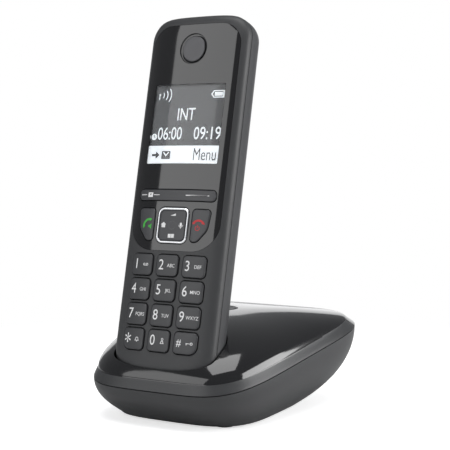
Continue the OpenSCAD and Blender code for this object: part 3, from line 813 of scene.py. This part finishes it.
def nav_figures(z):
    """Volume wedge, house, microphone and book round the middle of the key."""
    wedge = [(-1.3, z + 4.0), (1.3, z + 4.0), (1.3, z + 5.0)]
    house = [(-5.2, z - 1.0), (-3.4, z - 1.0), (-3.4, z + 0.2), (-3.0, z + 0.2), (-4.3, z + 1.3),
             (-5.6, z + 0.2), (-5.2, z + 0.2)]
    return [shape_figure(wedge), shape_figure(house),
            shape_figure(rounded_box(4.3, z + 0.35, 1.0, 1.7, 0.48)),
            shape_figure(arc_band(4.3, z + 0.2, 0.95, 0.22, 180, 360)),
            shape_figure(bar(4.3, z - 1.05, 0.26, 0.6)), shape_figure(bar(-0.78, z - 4.5, 1.4, 1.6)),
            shape_figure(bar(0.78, z - 4.5, 1.4, 1.6))]


def level(depth):
    """Flat surface at one depth, for pads and figures that don't follow the face."""
    def surface(x):
        return np.full(np.shape(x), depth)
    return surface


def make_display(paints):
    opening = rounded_box(0, WINDOW_Z, WINDOW_W - 0.1, WINDOW_H - 0.1, 0.55)
    lens = pad("display_lens", opening, -0.06, 2.2, edge=0.08, steps=2)
    finish_piece(lens, "handset", paints["glass"], ["display_window"], sharp=40)
    outline = rounded_box(0, WINDOW_Z, 38, WINDOW_H + 2.4, 1.0)
    panel = pad("display_panel", outline, 0.0, 4.6, edge=0.2, base=level(PANEL_DEPTH), steps=2)
    finish_piece(panel, "handset", paints["panel"], ["display_module"], sharp=40)
    figures = [menu_strip()] + clock_figures() + signal_figures() + battery_figures()
    print_figures("display_figures", figures, level(PANEL_DEPTH), "handset", paints["pixel"])
    raised = level(PANEL_DEPTH - 0.04)
    print_figures("display_dark_figures", menu_figures(), raised, "handset", paints["pixel_dark"])


def menu_strip():
    """Lit strip along the display's lower edge, which runs a little way under the window's rim."""
    half = WINDOW_W / 2 + 0.6
    low, high = WINDOW_LOW - 0.5, WINDOW_LOW + MENU_H
    return shape_figure([(-half, low), (half, low), (half, high), (-half, high)])


def clock_figures():
    return [text_figure("INT", 5.6, -1.0, WINDOW_Z + 4.2, squeeze=0.72),
            text_figure("06:00", 5.6, -8.1, WINDOW_Z - 4.1, squeeze=0.72),
            text_figure("09:19", 5.6, 10.4, WINDOW_Z - 4.1, squeeze=0.77),
            shape_figure(circle(-15.9, WINDOW_Z - 5.2, 1.4))]


def signal_figures():
    top = WINDOW_HIGH
    waves = [shape_figure(arc_band(-15.6 + 0.5 * k, top - 4.2, 0.5 + 1.35 * k, 0.42, -38, 38))
             for k in (1, 2, 3)]
    mast = [shape_figure(circle(-15.4, top - 3.9, 0.45)), shape_figure(bar(-15.5, top - 5.2, 0.35, 1.8))]
    return waves + mast


def battery_figures():
    z = WINDOW_HIGH - 4.2
    shell = [(10.2, z), (11.4, z + 1.6), (16.4, z + 1.6), (16.4, z - 1.6), (11.4, z - 1.6)]
    hole = [(10.9, z), (11.7, z + 1.2), (15.9, z + 1.2), (15.9, z - 1.2), (11.7, z - 1.2)]
    charge = [(11.9, z + 0.8), (15.6, z + 0.8), (15.6, z - 0.8), (11.9, z - 0.8)]
    return [shape_figure(shell, hole), shape_figure(charge)]


def menu_figures():
    """Dark figures: word, arrow and envelope on the lit strip, and the hands of the small clock."""
    z = WINDOW_LOW + MENU_H / 2
    arrow = [(-16.0, z - 0.5), (-14.0, z - 0.5), (-14.0, z - 1.7), (-12.0, z), (-14.0, z + 1.7),
             (-14.0, z + 0.5), (-16.0, z + 0.5)]
    flap = [(-10.4, z + 1.2), (-8.8, z - 0.7), (-7.2, z + 1.2), (-7.7, z + 1.4), (-8.8, z + 0.1),
            (-9.9, z + 1.4)]
    return [text_figure("Menu", 5.4, 10.3, z, squeeze=0.68), shape_figure(arrow),
            shape_figure(rounded_box(-8.8, z, 4.4, 3.6, 0.5), flap),
            shape_figure(bar(-15.9, WINDOW_Z - 4.8, 0.3, 1.2)),
            shape_figure(bar(-15.55, WINDOW_Z - 5.3, 0.9, 0.3))]


# ---------------------------------------------------------------- base
def outline_x(turns, half, power, flare):
    return half * spow(np.cos(turns), 2 / power) * (1 + flare * spow(np.sin(turns), 2 / power))


def seam_z(u):
    return 26.05 + 10.45 * u - 0.1 * u ** 2


def ring_turns(count=160):
    return np.linspace(0, 2 * math.pi, count, endpoint=False)


def seam_ring(grow, rise=0.0):
    turns = ring_turns()
    u = spow(np.sin(turns), 2 / OUTLINE_POWER)
    x = outline_x(turns, BASE_HALF_W - grow, OUTLINE_POWER, FLARE)
    return np.stack([x, u * (BASE_HALF_L - grow), seam_z(u) + rise], 1)


def top_ring(r, grow):
    """Ring of the top surface, a share r of the way out from the middle to the crease."""
    turns = ring_turns()
    edge_u = spow(np.sin(turns), 2 / OUTLINE_POWER)
    u = edge_u * r
    rim_in = 1.6 + 1.7 * ((1 + edge_u) / 2) ** 2
    rim = seam_z(u) + 3.9 - 0.6 * u
    crown = 42.7 + 3.8 * u - 3.8 * u ** 2
    x = outline_x(turns, BASE_HALF_W - rim_in - grow, OUTLINE_POWER, FLARE) * r
    y = edge_u * (BASE_HALF_L - rim_in - grow) * r
    return np.stack([x, y, rim + (crown - rim) * (1 - r ** TOP_POWER) ** TOP_ROUND - grow], 1)


def lower_ring(t, grow):
    turns = ring_turns()
    u = spow(np.sin(turns), 2 / OUTLINE_POWER)
    v = spow(np.sin(turns), 2 / FOOT_POWER)
    share = math.sin(math.pi / 2 * t) ** (1.1 - 0.2 * v)
    x0 = outline_x(turns, FOOT_HALF_W - grow, FOOT_POWER, FOOT_FLARE)
    x1 = outline_x(turns, BASE_HALF_W - grow, OUTLINE_POWER, FLARE)
    y0 = FOOT_Y + v * (FOOT_HALF_L - grow)
    y1 = u * (BASE_HALF_L - grow)
    z0 = FOOT_T + grow
    z = z0 + (seam_z(u) - z0) * ((1 - math.cos(math.pi / 2 * t)) * 0.35 + t * 0.65)
    return np.stack([x0 + (x1 - x0) * share, y0 + (y1 - y0) * share, z], 1)


def top_form(name, grow, below):
    """Top cover's solid form: seam outline, satin rim, crease, then the crowned top."""
    shares = [1.0, 0.9995, 0.998, 0.995, 0.99, 0.98, 0.965, 0.945, 0.92, 0.89, 0.85, 0.8, 0.74, 0.67, 0.6,
              0.52, 0.44, 0.36, 0.28, 0.2, 0.12, 0.05, 0.004]
    rings = [seam_ring(grow, below), seam_ring(grow, below + 0.2)]
    outer, crease = seam_ring(grow, below + 0.2), top_ring(1.0, grow)
    rings += [outer + (crease - outer) * k / 3 for k in (1, 2)]
    rings += [top_ring(r, grow) for r in shares]
    return loft(name, rings, BASE)


def well_form(name, grow, top=39.0):
    """The handset's section swept along it from its foot up, grown outwards."""
    turns = np.linspace(0, 2 * math.pi, 144, endpoint=False)
    x = (HALF_W + grow) * spow(np.cos(turns), 2 / SECTION_POWER)
    bulge = np.where(np.sin(turns) < 0, SEAM, DEPTH - SEAM) + grow
    y = SEAM + bulge * spow(np.sin(turns), 2 / SECTION_POWER)
    below, above = np.linspace(BOTTOM - grow, WELL_MID, 3), np.linspace(WELL_MID, top, 30)
    rings = [np.stack([x, y, np.full(len(x), z)], 1) for z in np.unique(np.concatenate([below, above]))]
    return loft(name, rings, HANDSET)


def make_base_top(paints):
    cover = top_form("base_top_shell", 0.0, BASE_GAP)
    combine(cover, [top_form("hollow", BASE_WALL, -4.0)])
    wall = well_form("well wall", WELL_OUTER)
    combine(wall, [top_form("under the skin", 0.5, BASE_GAP)], "INTERSECT")
    combine(cover, [wall], "UNION")
    page_hole = turned("page hole", [(PAGE_R + 0.3, -4), (PAGE_R + 0.3, -0.35), (PAGE_R + 0.7, 3.0)], PAGE)
    combine(cover, [well_form("well", WELL_GAP), page_hole])
    finish_piece(cover, "base", paints["base_gloss"], ["base_top_cover"], sharp=38)
    paint_rim(cover, paints["satin"])


def paint_rim(cover, satin):
    """The rim below the crease is satin; the crowned top above it is polished."""
    cover.data.materials.append(satin)
    for face in cover.data.polygons:
        x, y, z = np.array(face.center) / MM
        u = np.clip(y / BASE_HALF_L, -1, 1)
        rim_in = 1.6 + 1.7 * ((1 + u) / 2) ** 2
        reach = abs(y) / (BASE_HALF_L - rim_in)
        side = abs(x) / ((BASE_HALF_W - rim_in) * (1 + FLARE * u))
        out = reach ** OUTLINE_POWER + side ** OUTLINE_POWER
        face.material_index = int(out > 1.0 and face.normal.z < 0.75)


def turned(name, profile, matrix, steps=64, x=0.0, y=0.0):
    """Solid of revolution about the z axis from (radius, height) points."""
    turns = np.linspace(0, 2 * math.pi, steps, endpoint=False)
    rings = [np.stack([x + r * np.cos(turns), y + r * np.sin(turns), np.full(steps, z)], 1)
             for r, z in profile]
    return loft(name, rings, matrix)


def socket_opening(x, width):
    """Box through the lower shell's rear wall, with rounded corners as seen from behind."""
    outline = rounded_box(x, SOCKET_Z, width, 10, 0.6)
    rings = [np.stack([outline[:, 0], np.full(len(outline), y), outline[:, 1]], 1) for y in (37, 59)]
    return loft("socket opening", rings, BASE)


def make_base_bottom(paints):
    shares = list(np.linspace(0, 1, 22))
    shell = loft("base_lower_shell", [lower_ring(t, 0.0) for t in shares], BASE)
    inner = [lower_ring(t, BASE_WALL) for t in shares] + [seam_ring(BASE_WALL, 4.0)]
    combine(shell, [loft("hollow", inner, BASE)])
    tools = [socket_opening(LINE_X, 13.2), socket_opening(POWER_X, 11.2)]
    tools += [slot_cutter(4 * (j - 3.5)) for j in range(8)]
    tools += [turned("screw hole", [(2.7, -1), (2.7, 5)], BASE, x=x, y=y)
              for x in (-24, 24) for y in (-14, 28)]
    combine(shell, tools)
    finish_piece(shell, "base", paints["satin"], ["base_bottom_shell"], sharp=40)


def slot_cutter(y):
    outline = rounded_box(0, y, 18, 1.6, 0.78)
    rings = [np.stack([outline[:, 0], outline[:, 1], np.full(len(outline), z)], 1) for z in (-1.0, 5.0)]
    return loft("vent", rings, BASE)


def make_page_key(paints):
    profile = [(PAGE_R - 0.15, -2.2), (PAGE_R - 0.05, -0.5), (PAGE_R - 0.1, -0.15), (PAGE_R - 0.3, 0.08),
               (PAGE_R - 0.7, 0.2), (0.7 * PAGE_R, 0.12), (0.4 * PAGE_R, 0.02), (0.05, 0.0)]
    key = turned("page_key_cap", profile, PAGE)
    finish_piece(key, "page_key", paints["plate_key"], ["page_key"], sharp=50)


# ---------------------------------------------------------------- the frame's own nodes
def paint_frame_nodes(paints):
    """Inner parts that stay as they are in the frame get the matching materials."""
    groups = {
        "speaker": ["earpiece_speaker", "loudspeaker"],
        "tin": ["microphone", "handset_shield", "base_shield"],
        "silicone": ["key_mat"],
        "board": ["handset_pcb", "base_pcb"],
        "cell": ["battery_1", "battery_2"],
        "gold": ["battery_contacts", "handset_contacts", "charge_pin_left", "charge_pin_right"],
        "steel": ["dome_switches", "handset_screws", "base_screws"],
        "socket": ["nav_pivot", "page_switch", "charge_pin_holder", "line_socket", "power_socket"],
        "rubber": ["base_feet"],
    }
    chosen = {node: paint for paint, nodes in groups.items() for node in nodes}
    for obj in list(bpy.data.objects):
        name = obj.name.split(".")[0]
        if obj.type == "MESH" and name in chosen and obj.material_slots:
            for place in obj.material_slots:
                place.link = "OBJECT"
                place.material = paints[chosen[name]]


def main():
    bpy.context.scene.view_settings.view_transform = "Standard"
    make_camera()
    make_lights()
    make_world()
    make_floor()
    paints = make_materials()
    make_handset_front(paints)
    make_faceplate(paints)
    make_earpiece(paints)
    make_handset_back(paints)
    make_battery_door(paints)
    make_keys(paints)
    make_controls(paints)
    make_display(paints)
    make_base_top(paints)
    make_base_bottom(paints)
    make_page_key(paints)
    paint_frame_nodes(paints)


main()
